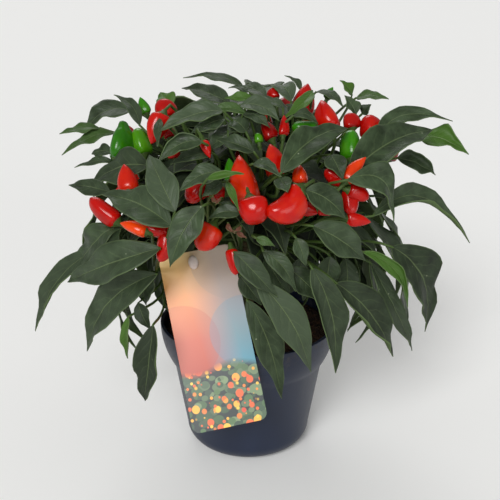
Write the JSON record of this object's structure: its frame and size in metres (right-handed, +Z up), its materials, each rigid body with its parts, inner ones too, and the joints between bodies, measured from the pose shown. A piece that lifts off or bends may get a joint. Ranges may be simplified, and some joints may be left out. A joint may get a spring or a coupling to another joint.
{
  "type": "potted chilli pepper plant",
  "caption": "Bushy chilli pepper plant in a round plastic grower pot: dark wavy leaves, upright glossy red and green peppers, peat soil and a hanging label card.",
  "frame": {"origin": "middle of the pot's flat base, on the surface that the pot stands on", "axes": "+Z up along the pot's axis; -Y is the front, with the label card; +X is to the viewer's right"},
  "size_m": [0.302, 0.2649, 0.275],
  "materials": {
    "pot_plastic": "moulded polypropylene, satin",
    "peat_soil": "moist crumbly peat",
    "woody_stem": "green bark, matt",
    "leaf": "waxy leaf, soft sheen",
    "red_pepper": "smooth glossy fruit skin",
    "green_pepper": "smooth glossy fruit skin",
    "printed_card": "printed and coated, satin",
    "peg_plastic": "moulded, satin"
  },
  "bodies": {
    "root": {"green_pepper_crown": "green_pepper", "green_pepper_middle": "green_pepper", "green_pepper_right": "green_pepper", "green_pepper_tip": "green_pepper", "green_pepper_top_right": "green_pepper", "green_peppers_left": "green_pepper", "label_card": "printed_card", "label_stake": "peg_plastic", "leafy_stem_01": "leaf", "leafy_stem_02": "leaf", "leafy_stem_03": "leaf", "leafy_stem_04": "leaf", "leafy_stem_05": "leaf", "leafy_stem_06": "leaf", "leafy_stem_07": "leaf", "leafy_stem_08": "leaf", "leafy_stem_09": "leaf", "leafy_stem_10": "leaf", "leafy_stem_11": "leaf", "leafy_stem_12": "leaf", "leafy_stem_13": "leaf", "main_stem": "woody_stem", "pot": "pot_plastic", "red_pepper_big_upright": "red_pepper", "red_pepper_crown_middle": "red_pepper", "red_pepper_crown_shaded": "red_pepper", "red_pepper_crown_slim": "red_pepper", "red_pepper_crown_small": "red_pepper", "red_pepper_left_edge": "red_pepper", "red_pepper_left_upright": "red_pepper", "red_pepper_low_middle": "red_pepper", "red_pepper_middle_left": "red_pepper", "red_pepper_shaded_left": "red_pepper", "red_pepper_slim_left": "red_pepper", "red_pepper_top": "red_pepper", "red_pepper_top_right": "red_pepper", "red_pepper_top_small": "red_pepper", "red_pepper_upper_left": "red_pepper", "red_pepper_upper_left_hanging": "red_pepper", "red_peppers_back_1": "red_pepper", "red_peppers_back_2": "red_pepper", "red_peppers_back_3": "red_pepper", "red_peppers_back_4": "red_pepper", "red_peppers_back_5": "red_pepper", "red_peppers_back_6": "red_pepper", "red_peppers_back_7": "red_pepper", "red_peppers_centre": "red_pepper", "red_peppers_crown_right": "red_pepper", "red_peppers_left_low": "red_pepper", "red_peppers_middle": "red_pepper", "red_peppers_middle_right": "red_pepper", "red_peppers_right": "red_pepper", "red_peppers_right_crossed": "red_pepper", "soil": "peat_soil"}
  },
  "joints": []
}
